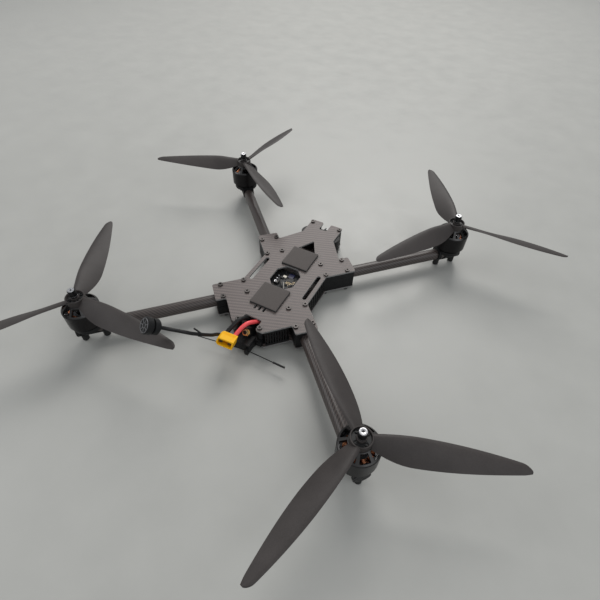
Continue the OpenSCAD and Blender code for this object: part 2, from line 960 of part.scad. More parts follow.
module antenna_lead() {
    color("#1a1a1a")
        tube_along(ANTENNA_ROUTE, antenna_lead_d, 8);
}

module antenna_head() {
    dir = unit(antenna_head_dir);
    color("#141414")
        translate(ANTENNA_ROUTE[len(ANTENNA_ROUTE) - 1])
            rotate([0, acos(dir[2]), atan2(dir[1], dir[0])])
                rotate_extrude($fn = 56)
                    polygon([
                        [0, 0], [2.6, 0], [3, 1], [antenna_head_r - 2, 1.4], [antenna_head_r - 0.6, 2.8],
                        [antenna_head_r - 0.6, 6.6], [antenna_head_r - 1, 7.2], [antenna_head_r - 3, 7.2],
                        [antenna_head_r - 3, 9], [antenna_head_r - 0.5, 9], [antenna_head_r, 9.6],
                        [antenna_head_r, antenna_head_len - 0.8], [antenna_head_r - 0.8, antenna_head_len],
                        [0, antenna_head_len]
                    ]);
}

module receiver_antenna() {
    rod_r = 0.55;
    color("#111111") {
        translate([10, -98, 7])
            rotate([0, 90, 0]) {
                cylinder(h = 44, r = rod_r, $fn = 20);
                translate([0, 0, 30])
                    cylinder(h = 14, r = 2 * rod_r, $fn = 28);
            }
        translate([5.9, -98.3, 7])
            rotate([0, -90, 9])
                cylinder(h = 54, r = rod_r, $fn = 20);
    }
}

top_plate();
bottom_plate();
arm_tube(0);  // arm_tube_fl
arm_tube(1);  // arm_tube_fr
arm_tube(2);  // arm_tube_rl
arm_tube(3);  // arm_tube_rr
arm_clamp(0);  // arm_clamp_fl
arm_clamp(1);  // arm_clamp_fr
arm_clamp(2);  // arm_clamp_rl
arm_clamp(3);  // arm_clamp_rr
motor_mount(0);  // motor_mount_fl
motor_mount(1);  // motor_mount_fr
motor_mount(2);  // motor_mount_rl
motor_mount(3);  // motor_mount_rr
landing_feet();
motor_bases();
motor_bearings();
stators();
windings();
motor_bell(0);  // motor_bell_fl
motor_bell(1);  // motor_bell_fr
motor_bell(2);  // motor_bell_rl
motor_bell(3);  // motor_bell_rr
magnets(0);  // magnets_fl
magnets(1);  // magnets_fr
magnets(2);  // magnets_rl
magnets(3);  // magnets_rr
propeller(0);  // propeller_fl
propeller(1);  // propeller_fr
propeller(2);  // propeller_rl
propeller(3);  // propeller_rr
prop_nut(0);  // prop_nut_fl
prop_nut(1);  // prop_nut_fr
prop_nut(2);  // prop_nut_rl
prop_nut(3);  // prop_nut_rr
flight_controller();
speed_controller();
stack_posts();
capacitor();
receiver();
video_transmitter();
camera_mount();
camera_housing();
camera_lens();
camera_screws();
vent_guards();
rear_mount();
antenna_jack();
foam_pad(1);  // foam_pad_front
foam_pad(-1);  // foam_pad_rear
frame_screws();
motor_screws();
motor_leads();
battery_connector();
connector_pins();
power_lead_red();
power_lead_black();
antenna_head();
antenna_lead();
receiver_antenna();
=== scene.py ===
import math
import random

import bmesh
import bpy
from mathutils import Matrix, Vector


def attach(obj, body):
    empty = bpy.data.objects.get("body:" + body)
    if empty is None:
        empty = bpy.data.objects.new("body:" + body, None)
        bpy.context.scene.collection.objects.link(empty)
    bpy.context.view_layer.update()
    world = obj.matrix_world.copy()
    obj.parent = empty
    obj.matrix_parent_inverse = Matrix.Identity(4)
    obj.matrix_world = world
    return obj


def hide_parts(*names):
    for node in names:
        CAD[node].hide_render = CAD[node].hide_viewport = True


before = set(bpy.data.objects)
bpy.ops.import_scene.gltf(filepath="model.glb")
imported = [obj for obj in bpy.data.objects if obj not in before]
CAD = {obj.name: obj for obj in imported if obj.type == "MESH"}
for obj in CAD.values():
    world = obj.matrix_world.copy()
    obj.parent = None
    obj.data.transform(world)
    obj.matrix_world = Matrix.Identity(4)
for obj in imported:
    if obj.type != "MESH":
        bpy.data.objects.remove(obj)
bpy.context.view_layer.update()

SCENE = bpy.context.scene
MM = 0.001
REACH = 154.856  # each motor axis stands this far from the centre line, in mm, along X and along Y
QUADRANTS = {"fl": (-1, 1), "fr": (1, 1), "rl": (-1, -1), "rr": (1, -1)}
random.seed(11)


# ---------- camera ----------

CAMERA_AT = (172.2, -298.5, 364.8)  # mm
CAMERA_LENS = 24.58  # mm, on a 36 mm sensor


def add_camera():
    right = Vector((0.8845, 0.4664, 0.0130))
    down = Vector((0.3521, -0.6488, -0.6746))
    forward = Vector((-0.3062, 0.6013, -0.7381))
    data = bpy.data.cameras.new("camera")
    data.sensor_width = 36
    data.lens = CAMERA_LENS
    data.clip_start = 0.02
    cam = bpy.data.objects.new("camera", data)
    SCENE.collection.objects.link(cam)
    turn = Matrix((right, -down, -forward)).transposed().to_4x4()
    cam.matrix_world = Matrix.Translation(Vector(CAMERA_AT) * MM) @ turn
    SCENE.camera = cam


add_camera()


# ---------- mesh helpers: shapes are given in mm ----------

def add_mesh(name, points, faces, smooth=True, sharp_deg=None):
    mesh = bpy.data.meshes.new(name)
    mesh.from_pydata([Vector(p) * MM for p in points], [], faces)
    bm = bmesh.new()
    bm.from_mesh(mesh)
    bmesh.ops.recalc_face_normals(bm, faces=bm.faces)
    bm.to_mesh(mesh)
    bm.free()
    mesh.shade_smooth() if smooth else mesh.shade_flat()
    if smooth and sharp_deg:
        mesh.set_sharp_from_angle(angle=math.radians(sharp_deg))
    obj = bpy.data.objects.new(name, mesh)
    SCENE.collection.objects.link(obj)
    return obj


class Pile:
    """Points and faces of several closed shapes that become one piece."""

    def __init__(self):
        self.points, self.faces = [], []

    def add(self, points, faces, place=None):
        base = len(self.points)
        self.points += [place @ Vector(p) if place else Vector(p) for p in points]
        self.faces += [[i + base for i in f] for f in faces]

    def piece(self, name, smooth=True, sharp_deg=35):
        return add_mesh(name, self.points, self.faces, smooth, sharp_deg)


def skin(rings, n, closed=False):
    """Quads between successive rings of n points, with a cap on each end unless the rings close up."""
    last = rings if closed else rings - 1
    faces = [
        [i * n + j, i * n + (j + 1) % n, (i + 1) % rings * n + (j + 1) % n, (i + 1) % rings * n + j]
        for i in range(last)
        for j in range(n)
    ]
    if not closed:
        faces += [list(range(n))[::-1], [(rings - 1) * n + j for j in range(n)]]
    return faces


def tube(path, radius, sides=16, closed=False):
    """Points and faces of a round tube swept along the path."""
    n = len(path)
    path = [Vector(p) for p in path]
    side = None
    points = []
    for i, p in enumerate(path):
        a = path[i - 1] if i or closed else p
        b = path[(i + 1) % n] if i < n - 1 or closed else p
        dirn = (b - a).normalized()
        if side is None:
            side = dirn.orthogonal()
        side = (side - dirn * side.dot(dirn)).normalized()
        up = dirn.cross(side)
        for k in range(sides):
            t = 2 * math.pi * k / sides
            points.append(p + radius * (math.cos(t) * side + math.sin(t) * up))
    return points, skin(n, sides, closed)


def lathe(profile, segments=48):
    """A profile of (radius, height) turned about Z. Ends that reach radius 0 close the shape."""
    points, faces, rows = [], [], []
    for r, z in profile:
        if r <= 1e-6:
            rows.append([len(points)])
            points.append((0, 0, z))
        else:
            rows.append(list(range(len(points), len(points) + segments)))
            points += [
                (r * math.cos(2 * math.pi * k / segments), r * math.sin(2 * math.pi * k / segments), z)
                for k in range(segments)
            ]
    for a, b in zip(rows, rows[1:]):
        for k in range(segments):
            m = (k + 1) % segments
            quad = [a[k % len(a)], a[m % len(a)], b[m % len(b)], b[k % len(b)]]
            face = [v for i, v in enumerate(quad) if v not in quad[:i]]
            if len(face) > 2:
                faces.append(face)
    return points, faces


def ring_lathe(profile, segments=48):
    """A closed profile, clear of the axis, turned about Z."""
    return lathe(profile + profile[:1], segments)


def block(size, at=(0, 0, 0), edge=0.15):
    """A box with chamfered edges, centred on at."""
    points = []
    sx, sy, sz = (s / 2 for s in size)
    e = min(edge, sx * 0.9, sy * 0.9, sz * 0.9)
    c = e * 0.6
    levels = [(-sz, e), (-sz + e, 0), (sz - e, 0), (sz, e)]
    for z, inset in levels:
        x, y = sx - inset, sy - inset
        outline = [
            (-x + c, -y), (x - c, -y), (x, -y + c), (x, y - c),
            (x - c, y), (-x + c, y), (-x, y - c), (-x, -y + c),
        ]
        points += [(at[0] + px, at[1] + py, at[2] + z) for px, py in outline]
    return points, skin(len(levels), len(outline))


def spline(route, steps):
    """A Catmull-Rom curve through the route, with steps points for each stretch."""
    pts = [Vector(p) for p in route]
    out = []
    for i in range(len(pts) - 1):
        a, b, c, e = pts[max(0, i - 1)], pts[i], pts[i + 1], pts[min(len(pts) - 1, i + 2)]
        for k in range(steps):
            t = k / steps
            square, cube = 2 * a - 5 * b + 4 * c - e, 3 * b - a - 3 * c + e
            out.append(0.5 * (2 * b + (c - a) * t + square * t * t + cube * t ** 3))
    return out + [pts[-1]]


def at_arm(q):
    sx, sy = QUADRANTS[q]
    return Matrix.Rotation(math.atan2(sy, sx), 4, "Z")


def on_axis(q, z=0):
    """The place at this height on a motor's axis."""
    sx, sy = QUADRANTS[q]
    return Matrix.Translation((sx * REACH, sy * REACH, z))


def at_motor(q):
    """The place of a motor, with X along its arm."""
    return on_axis(q) @ at_arm(q)


# ---------- cords ----------

LEAD_D = 4.6
COAX_D = 3.6
RED_ROUTE = [
    (6, -24, 10.5), (6, -29, 10.8), (6, -40, 13.2), (6, -52, 15.6), (5.6, -61, 17.6),
    (4.8, -67, 20.3), (3.6, -72, 24.2), (1.8, -77, 27.7), (-0.3, -82, 29.4), (-2.3, -87.5, 28.6),
    (-3.8, -92, 26.5), (-4.8, -95.5, 24.9), (-5.1, -98.6, 24.2), (-4.7, -101.5, 24.6),
]
BLACK_ROUTE = [
    (-6, -24, 10.5), (-6, -29, 10.8), (-6, -40, 13.2), (-6.4, -52, 15.6), (-6.9, -61, 17.6),
    (-7.2, -67, 20.3), (-7.6, -72, 24.4), (-8.2, -76.8, 28.4), (-9.6, -82, 30.6), (-11.4, -88, 29.6),
    (-13, -93.8, 27.5), (-13.8, -97.2, 26.3), (-13.9, -100.2, 25.9), (-13.4, -103.1, 26.5),
]
ANTENNA_ROUTE = [
    (-14, -84.5, 6.5), (-14.2, -88.8, 7.2), (-15.4, -93.2, 9.7), (-17.5, -97.4, 13.8),
    (-19.8, -101.2, 19), (-20.2, -105.2, 25.4), (-19, -109.6, 31.4), (-18.8, -115.8, 37.5),
    (-20.3, -122.1, 44), (-22, -128.4, 51), (-24.6, -134.8, 58), (-28, -138.7, 62.2),
    (-32.4, -141.3, 64.2), (-36.9, -143.4, 65.4), (-40.8, -146, 67.5), (-43.4, -148.4, 70),
    (-45.1, -150.8, 72.6),
]


def add_cord(name, route, diameter):
    path = spline(route, 6)
    points, faces = tube(path, diameter / 2, 20)
    obj = add_mesh(name, points, faces, True, 60)
    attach(obj, "airframe")
    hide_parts(name.replace("cord_", ""))
    return obj


red_cord = add_cord(
    "cord_power_lead_red", RED_ROUTE, LEAD_D,
)
black_cord = add_cord(
    "cord_power_lead_black", BLACK_ROUTE, LEAD_D,
)
antenna_cord = add_cord(
    "cord_antenna_lead", ANTENNA_ROUTE, COAX_D,
)


# ---------- materials ----------

class Shader:
    """A principled material and short ways to add nodes to it. Coordinates are the object's own, in mm."""

    def __init__(self, name, color, roughness, metallic=0.0, **sockets):
        self.mat = bpy.data.materials.new(name)
        self.mat.use_nodes = True
        self.tree = self.mat.node_tree
        self.bsdf = self.tree.nodes["Principled BSDF"]
        self.set("Base Color", (*color, 1))
        self.set("Roughness", roughness)
        self.set("Metallic", metallic)
        for key, value in sockets.items():
            self.set(key.replace("_", " "), value)
        self._coords = None

    def set(self, name, value):
        self.bsdf.inputs[name].default_value = value

    def put(self, name, source):
        self.tree.links.new(source, self.bsdf.inputs[name])

    def node(self, kind, inputs=(), **props):
        node = self.tree.nodes.new("ShaderNode" + kind)
        for key, value in props.items():
            setattr(node, key, value)
        for key, value in dict(inputs).items():
            if isinstance(value, bpy.types.NodeSocket):
                self.tree.links.new(value, node.inputs[key])
            elif value is not None:
                node.inputs[key].default_value = value
        return node

    def math(self, operation, a, b=None):
        return self.node("Math", {0: a, 1: b}, operation=operation).outputs[0]

    def coords(self):
        if self._coords is None:
            self._coords = self.scaled(self.node("TexCoord").outputs["Object"], (1000, 1000, 1000))
        return self._coords

    def scaled(self, vector, by):
        return self.node("VectorMath", {0: vector, 1: by}, operation="MULTIPLY").outputs[0]

    def xyz(self, vector=None):
        return self.node("SeparateXYZ", {0: vector or self.coords()}).outputs

    def turned(self, degrees):
        """The coordinates turned about Z."""
        return self.node(
            "Mapping",
            {"Vector": self.coords(), "Rotation": (0, 0, math.radians(degrees))},
            vector_type="POINT",
        ).outputs[0]

    def normal_z(self):
        return self.node("SeparateXYZ", {0: self.node("NewGeometry").outputs["Normal"]}).outputs[2]

    def noise(self, scale, detail=3.0, rough=0.5, vector=None):
        return self.node(
            "TexNoise",
            {"Vector": vector or self.coords(), "Scale": scale, "Detail": detail, "Roughness": rough},
        ).outputs["Fac"]

    def range(self, value, low, high, out_low=0.0, out_high=1.0):
        return self.node("MapRange", {0: value, 1: low, 2: high, 3: out_low, 4: out_high}).outputs[0]

    def mix(self, share, a, b):
        def rgba(v):
            return v if isinstance(v, bpy.types.NodeSocket) else (*v, 1)
        node = self.node("Mix", {0: share}, data_type="RGBA")
        for index, value in ((6, rgba(a)), (7, rgba(b))):
            if isinstance(value, bpy.types.NodeSocket):
                self.tree.links.new(value, node.inputs[index])
            else:
                node.inputs[index].default_value = value
        return node.outputs[2]

    def bump(self, height, strength, distance=0.1):
        node = self.node("Bump", {"Strength": strength, "Distance": distance * MM, "Height": height})
        self.put("Normal", node.outputs[0])

    def wave(self, value, period):
        """A sine of the value with this period, from -1 to 1."""
        return self.math("SINE", self.math("MULTIPLY", value, 2 * math.pi / period))


def twill(s, u, v, tow):
    """Share 0 or 1 of which tow lies on top in a two-by-two twill, and the height of the tows."""
    a, b = s.math("DIVIDE", u, tow), s.math("DIVIDE", v, tow)
    step = s.math("SUBTRACT", s.math("FLOOR", a), s.math("FLOOR", b))
    warp = s.math("LESS_THAN", s.math("FLOORED_MODULO", step, 4), 2)
    across_a = s.math("ABSOLUTE", s.math("SINE", s.math("MULTIPLY", a, math.pi)))
    across_b = s.math("ABSOLUTE", s.math("SINE", s.math("MULTIPLY", b, math.pi)))
    height = s.node("Mix", {0: warp, 2: across_b, 3: across_a}, data_type="FLOAT").outputs[0]
    return warp, height


PLY = 0.5  # two layers of the plates, seen on a cut edge
PLATE_TOW, PLATE_TURN = 1.5, 25
TUBE_TOW, TUBE_R, TUBE_Z = 1, 7, 13.5
PRINT_LAYER = 0.28
BELL_TOP = (46.3, 47.4)  # heights between which a bell goes over from its side to its top face


def plate_material():
    """Sanded twill on the faces and layers on the cut edges."""
    s = Shader("carbon_plate", (0.1, 0.09, 0.088), 0.5, Specular_IOR_Level=0.5)
    x, y, z = s.xyz(s.turned(PLATE_TURN))
    warp, height = twill(s, x, y, PLATE_TOW)
    cloud = s.noise(0.04, 4)
    weave = s.mix(warp, (0.08, 0.0645, 0.061), (0.163, 0.132, 0.125))
    shade = s.mix(s.range(cloud, 0.35, 0.65, 0, 0.3), weave, (0.136, 0.11, 0.104))
    up = s.math("ABSOLUTE", s.normal_z())
    layers = s.range(s.wave(z, PLY), -1, 1, 0.12, 0.36)
    cut = s.node("CombineColor", {0: layers, 1: layers, 2: layers}).outputs[0]
    s.put("Base Color", s.mix(s.math("LESS_THAN", up, 0.5), shade, cut))
    s.put("Roughness", s.range(s.math("ADD", warp, s.noise(2.0)), 0, 2, 0.36, 0.58))
    s.bump(height, 0.35, 0.08)
    return s.mat


def tube_material(name, degrees):
    """Glossier twill wound round a tube that runs at this angle to X."""
    s = Shader(name, (0.03, 0.026, 0.025), 0.42, Coat_Weight=0.25, Coat_Roughness=0.25)
    along, across, z = s.xyz(s.turned(degrees))
    around = s.math("MULTIPLY", s.math("ARCTAN2", s.math("SUBTRACT", z, TUBE_Z), across), TUBE_R)
    warp, height = twill(s, along, around, TUBE_TOW)
    s.put("Base Color", s.mix(warp, (0.033, 0.0255, 0.0235), (0.076, 0.059, 0.054)))
    s.put("Roughness", s.range(s.math("ADD", warp, s.noise(1.5)), 0, 2, 0.36, 0.52))
    s.bump(height, 0.2, 0.06)
    return s.mat


def printed_material():
    """Printed plastic, with its layer lines and a fibre speckle."""
    color = (0.0048, 0.0049, 0.0056)
    s = Shader("printed_black", color, 0.5, Specular_IOR_Level=0.3)
    line = s.wave(s.xyz()[2], PRINT_LAYER)
    speck = s.noise(6, 4, 0.7)
    lighter = tuple(c * 2.1 for c in color)
    s.put("Base Color", s.mix(s.range(speck, 0.45, 0.75), color, lighter))
    s.put("Roughness", s.range(s.noise(0.5), 0.3, 0.7, 0.42, 0.62))
    s.bump(s.math("ADD", line, s.math("MULTIPLY", speck, 0.8)), 0.3, 0.05)
    return s.mat


def plain(name, color, roughness, metallic=0.0, grain=2.0, spread=0.35, bump=0.1, depth=0.05, **sockets):
    """A material with a fine grain in colour, roughness and height."""
    s = Shader(name, color, roughness, metallic, **sockets)
    fine, broad = s.noise(grain, 4, 0.6), s.noise(grain * 0.08, 2)
    both = s.math("ADD", s.math("MULTIPLY", fine, 0.6), s.math("MULTIPLY", broad, 0.4))
    low = tuple(c * (1 - spread) for c in color)
    high = tuple(min(1.0, c * (1 + spread)) for c in color)
    s.put("Base Color", s.mix(s.range(both, 0.3, 0.7), low, high))
    s.put("Roughness", s.range(fine, 0.3, 0.7, roughness * 0.85, min(1.0, roughness * 1.2)))
    if bump:
        s.bump(fine, bump, depth)
    return s.mat


def prop_material():
    """Matt fibre-filled plastic."""
    s = Shader("prop_plastic", (0.045, 0.042, 0.042), 0.5, Specular_IOR_Level=0.4)
    fine, broad = s.noise(3.5, 4, 0.6), s.noise(0.05, 3)
    fibre = s.noise(0.9, 2, 0.5, s.scaled(s.coords(), (1, 1, 6)))
    tone = s.math("ADD", s.math("MULTIPLY", fibre, 0.5), s.math("MULTIPLY", broad, 0.5))
    s.put("Base Color", s.mix(s.range(tone, 0.35, 0.65), (0.033, 0.0278, 0.0265), (0.05, 0.0425, 0.0408)))
    s.put("Roughness", s.range(fine, 0.3, 0.7, 0.48, 0.64))
    s.bump(fine, 0.12, 0.04)
    return s.mat


def turned_metal(name, color, roughness, centre):
    """Metal turned on a lathe: fine rings about a vertical axis through centre, lighter on the top face,
    partly for its brushed finish and partly as painted sheen.
    """
    s = Shader(name, color, roughness, 0.85)
    x, y, z = s.xyz()
    dx, dy = s.math("SUBTRACT", x, centre[0]), s.math("SUBTRACT", y, centre[1])
    r = s.math("SQRT", s.math("ADD", s.math("MULTIPLY", dx, dx), s.math("MULTIPLY", dy, dy)))
    ring = s.wave(s.math("ADD", r, z), 0.35)
    dust = s.noise(1.2, 4)
    side = s.mix(s.range(dust, 0.45, 0.8), color, tuple(min(1, c * 1.9 + 0.004) for c in color))
    # Painted sheen, partly the brushed finish: above BELL_TOP the top face gets a lighter grey than the
    # sides.
    s.put("Base Color", s.mix(s.range(z, *BELL_TOP), side, (0.07, 0.068, 0.068)))
    s.put("Roughness", s.range(s.math("ADD", ring, dust), -0.5, 1.5, roughness * 0.8, roughness * 1.25))
    s.bump(ring, 0.12, 0.02)
    return s.mat


def foam_material():
    """Fine-celled foam with a ribbed skin on top, and painted shade on the sides, which are coloured near
    black.
    """
    s = Shader("pad_foam", (0.11, 0.105, 0.1), 0.85, Sheen_Weight=0.25, Sheen_Roughness=0.5)
    x, y = s.xyz()[:2]
    rib = s.math("ADD", s.wave(x, 0.7), s.wave(y, 0.7))
    pore = s.noise(3.5, 4, 0.7)
    tone = s.range(s.math("ADD", pore, s.math("MULTIPLY", rib, 0.06)), 0.3, 0.7)
    top = s.mix(tone, (0.053, 0.0445, 0.041), (0.102, 0.0865, 0.0805))
    # Painted shade: faces that turn away from up go to near black.
    s.put("Base Color", s.mix(s.range(s.normal_z(), 0.2, 0.8), (0.008, 0.008, 0.008), top))
    s.bump(s.math("ADD", s.math("MULTIPLY", rib, 0.4), pore), 0.5, 0.12)
    return s.mat


def copper_material():
    s = Shader("copper", (0.62, 0.22, 0.1), 0.28, 0.85, Coat_Weight=0.4, Coat_Roughness=0.15)
    tone = s.noise(1.2, 3)
    s.put("Base Color", s.mix(s.range(tone, 0.3, 0.7), (0.5, 0.15, 0.06), (0.8, 0.34, 0.17)))
    s.put("Roughness", s.range(s.noise(5), 0.3, 0.7, 0.22, 0.36))
    return s.mat


def board_material():
    """A dark circuit board with faint traces and a few bright pads."""
    color = (0.01, 0.012, 0.016)
    s = Shader("circuit", color, 0.5, Specular_IOR_Level=0.3, Coat_Weight=0.1, Coat_Roughness=0.3)
    cells = s.node("TexBrick", {
        "Vector": s.coords(), "Color1": (0.005, 0.006, 0.009, 1), "Color2": (0.014, 0.014, 0.016, 1),
        "Mortar": (0.03, 0.03, 0.028, 1), "Scale": 0.45, "Mortar Size": 0.03, "Bias": -0.2,
        "Brick Width": 0.7, "Row Height": 0.35,
    })
    pads = s.math("GREATER_THAN", s.noise(1.1, 1), 0.74)
    s.put("Base Color", s.mix(pads, cells.outputs["Color"], (0.4, 0.3, 0.14)))
    s.put("Metallic", s.math("MULTIPLY", pads, 0.9))
    s.bump(cells.outputs["Fac"], 0.2, 0.05)
    return s.mat


def laminated(name, color):
    """A stack of thin steel sheets, seen from the side."""
    s = Shader(name, color, 0.4, 0.8)
    sheet = s.wave(s.xyz()[2], 0.35)
    s.put("Base Color", s.mix(s.range(sheet, -0.6, 0.6), tuple(c * 0.45 for c in color), color))
    s.bump(sheet, 0.3, 0.05)
    return s.mat


def screw_material():
    s = Shader("screw_steel", (0.025, 0.025, 0.026), 0.32, 0.9)
    wear = s.noise(2.2, 4, 0.6)
    s.put("Base Color", s.mix(s.range(wear, 0.5, 0.72), (0.045, 0.041, 0.04), (0.2, 0.19, 0.185)))
    s.put("Roughness", s.range(wear, 0.3, 0.7, 0.26, 0.45))
    return s.mat


# The looks that pieces are dressed in, by key.
M = {
    "carbon_plate": plate_material(),
    "tube_a": tube_material("carbon_tube_a", -45),
    "tube_b": tube_material("carbon_tube_b", 45),
    "printed": printed_material(),
    "foot": plain("foot_rubber", (0.013, 0.013, 0.013), 0.75, bump=0.3),
    "steel": plain("bearing_steel", (0.55, 0.55, 0.57), 0.25, 0.95, spread=0.15),
    "stator": laminated("stator_steel", (0.32, 0.32, 0.34)),
    "copper": copper_material(),
    "magnet": plain("magnet", (0.6, 0.6, 0.62), 0.22, 0.9, spread=0.12),
    "prop": prop_material(),
    "nut": plain("nut_black", (0.016, 0.016, 0.017), 0.35, 0.6),
    "silver": plain("nut_silver", (0.6, 0.6, 0.62), 0.28, 1.0, spread=0.08),
    "circuit": board_material(),
    "can": plain("capacitor_can", (0.02, 0.03, 0.08), 0.3, spread=0.2),
    "lens": plain("lens_glass", (0.004, 0.005, 0.012), 0.04, spread=0.3, bump=0, Coat_Weight=1.0),
    "screw": screw_material(),
    "foam": foam_material(),
    "gold": plain("gold", (0.9, 0.66, 0.34), 0.25, 0.9, spread=0.12),
    "amber": plain(
        "connector_amber", (1, 0.5, 0.004), 0.45, grain=3, spread=0.07, bump=0.06, Specular_IOR_Level=0.3,
    ),
    # Painted shade for the inside of the connector's mouth.
    "amber_painted_shade": plain("connector_inside_painted_shade", (0.7, 0.19, 0.006), 0.5, spread=0.2),
    "contact": plain("contact_dark", (0.12, 0.07, 0.03), 0.35, 0.9, spread=0.2),
    "wire_red": plain(
        "wire_red", (0.95, 0.09, 0.1), 0.42, grain=1.2, spread=0.12, bump=0.08, Coat_Weight=0.15,
    ),
    "wire_black": plain(
        "wire_black", (0.0075, 0.0075, 0.008), 0.45, grain=1.2, bump=0.08, Specular_IOR_Level=0.35,
    ),
    "wire_grey": plain("wire_grey", (0.12, 0.12, 0.125), 0.45, grain=1.2, bump=0.08),
    # Painted shade for hollows: the hub recess, the socket in the shaft's end and the antenna jack.
    "pit": plain("hollow_painted_shade", (0.004, 0.004, 0.0042), 0.4, grain=3, bump=0.1),
    "chip": plain("chip_black", (0.006, 0.006, 0.007), 0.5, grain=4, bump=0.1, Specular_IOR_Level=0.25),
    "solder": plain("solder", (0.12, 0.09, 0.055), 0.45, 0.3, spread=0.4),
    "chip_blue": plain("chip_blue", (0.005, 0.007, 0.05), 0.4, grain=3, Coat_Weight=0.1),
    "ivory": plain("connector_ivory", (0.75, 0.7, 0.6), 0.4, grain=2, spread=0.08),
    "tan": plain("part_tan", (0.72, 0.53, 0.32), 0.35, grain=1.2, spread=0.5),
    "wire_white": plain("wire_white", (0.5, 0.48, 0.45), 0.45, grain=2, spread=0.06),
    "face_grey": plain("face_grey", (0.15, 0.15, 0.16), 0.4, grain=2, spread=0.2),
    "floor": plain("floor", (0.43, 0.43, 0.41), 0.42, grain=0.02, spread=0.04, bump=0),
}
for q, (sx, sy) in QUADRANTS.items():
    axis = (sx * REACH, sy * REACH)
    M["bell_" + q] = turned_metal("motor_black_" + q, (0.017, 0.016, 0.0165), 0.36, axis)


def dress(obj, key):
    obj.data.materials.clear()
    obj.data.materials.append(M[key])
    return obj


# The look of each node that keeps its own mesh.
NODE_LOOK = {
    "top_plate": "carbon_plate", "bottom_plate": "carbon_plate",
    "camera_mount": "printed", "camera_housing": "printed", "vent_guards": "printed", "rear_mount": "printed",
    "video_transmitter": "printed", "antenna_head": "printed",
    "frame_screws": "screw", "motor_screws": "screw", "stack_posts": "screw",
    "camera_screws": "steel", "motor_bearings": "steel", "stators": "stator", "motor_bases": "bell_rr",
    "flight_controller": "circuit", "speed_controller": "circuit", "receiver": "circuit",
    "capacitor": "can", "camera_lens": "lens", "landing_feet": "foot", "antenna_jack": "gold",
    "battery_connector": "amber", "connector_pins": "contact",
    "motor_leads": "wire_grey", "receiver_antenna": "wire_black",
}
for q in QUADRANTS:
    NODE_LOOK["arm_tube_" + q] = "tube_a" if q in ("fr", "rl") else "tube_b"
    NODE_LOOK["arm_clamp_" + q] = NODE_LOOK["motor_mount_" + q] = "printed"
    NODE_LOOK["motor_bell_" + q] = "bell_" + q
    NODE_LOOK["magnets_" + q] = "magnet"
    NODE_LOOK["prop_nut_" + q] = "nut"
for name, key in NODE_LOOK.items():
    dress(CAD[name], key)
dress(red_cord, "wire_red")
dress(black_cord, "wire_black")
dress(antenna_cord, "wire_black")


def finish_piece(obj, body, key, slot, *replaced):
    """Dress a new piece, and say which body it rides on and the nodes it replaces. The slot is not used."""
    dress(obj, key)
    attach(obj, body)
    if replaced:
        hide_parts(*replaced)
    return obj


# ---------- propellers ----------

PROP_R = 127
PROP_PITCH = 146
BLADE_Z = 58.2
BLADE_ROOT = 8.6
WIDEST_R = 42
LEAD_W, TRAIL_W = 9.2, 11.7  # greatest widths before and behind the blade's centre line
TIP_LENGTH = 7
SEAT_Z, HUB_TOP = 54, 61
HUB_FLOOR = HUB_TOP - 1.9
PROP_ANGLE = {"fl": 206, "fr": 121, "rl": 119, "rr": 16}
PROP_SENSE = {"fl": -1, "fr": -1, "rl": 1, "rr": 1}  # 1 is anticlockwise from above
# Height of each face of the blade across its width, as shares of the thickness.
UPPER = [(0, 0), (0.1, 0.62), (0.3, 1), (0.6, 0.85), (0.85, 0.45), (1, 0.1)]
LOWER = [(0, 0), (0.1, -0.25), (0.3, 0.05), (0.6, 0.15), (1, -0.1)]


def between(table, x):
    """A smooth value between the points of a table."""
    for i in range(len(table) - 1):
        (x0, y0), (x1, y1) = table[i], table[i + 1]
        if x <= x1:
            t = (x - x0) / (x1 - x0)
            before = table[max(0, i - 1)]
            after = table[min(len(table) - 1, i + 2)]
            m0 = (y1 - before[1]) / (x1 - before[0]) * (x1 - x0)
            m1 = (after[1] - y0) / (after[0] - x0) * (x1 - x0)
            start = (2 * t**3 - 3 * t**2 + 1) * y0 + (t**3 - 2 * t**2 + t) * m0
            return start + (3 * t**2 - 2 * t**3) * y1 + (t**3 - t**2) * m1
    return table[-1][1]


def tip_share(r):
    """1 along the blade, falling to 0 in a quarter circle over its tip."""
    tip = max(0, r - (PROP_R - TIP_LENGTH)) / TIP_LENGTH
    return math.sqrt(max(0, 1 - tip * tip))


def lead_edge(r):
    return (LEAD_W - 0.0012 * (r - 68) ** 2) * tip_share(r)


def trail_edge(r):
    if r > WIDEST_R:
        return -TRAIL_W * math.cos(math.radians(90 * (r - WIDEST_R) / (PROP_R + 5 - WIDEST_R))) * tip_share(r)
    return -TRAIL_W + 5.6 * ((WIDEST_R - r) / 32) ** 2


def blade_ring(r, sense, count):
    """The blade's outline at radius r: count steps over the upper face and count back under the lower one."""
    lead, trail = lead_edge(r) + 0.25, trail_edge(r) - 0.25
    root, helix = 0.5 + 0.005 * max(0, r - 12), PROP_PITCH / (2 * math.pi * r)
    slope = (root**-6 + helix**-6) ** (-1 / 6)
    thick = 1.1 + 2.2 * (1 - r / PROP_R) ** 1.5
    ring = []
    for k in range(2 * count):
        upper = k <= count
        share = k / count if upper else 2 - k / count
        p = (1 - math.cos(math.pi * share)) / 2
        v = lead + (trail - lead) * p
        ring.append((r, sense * v, v * slope + thick * (between(UPPER if upper else LOWER, p) - 0.35)))
    return ring


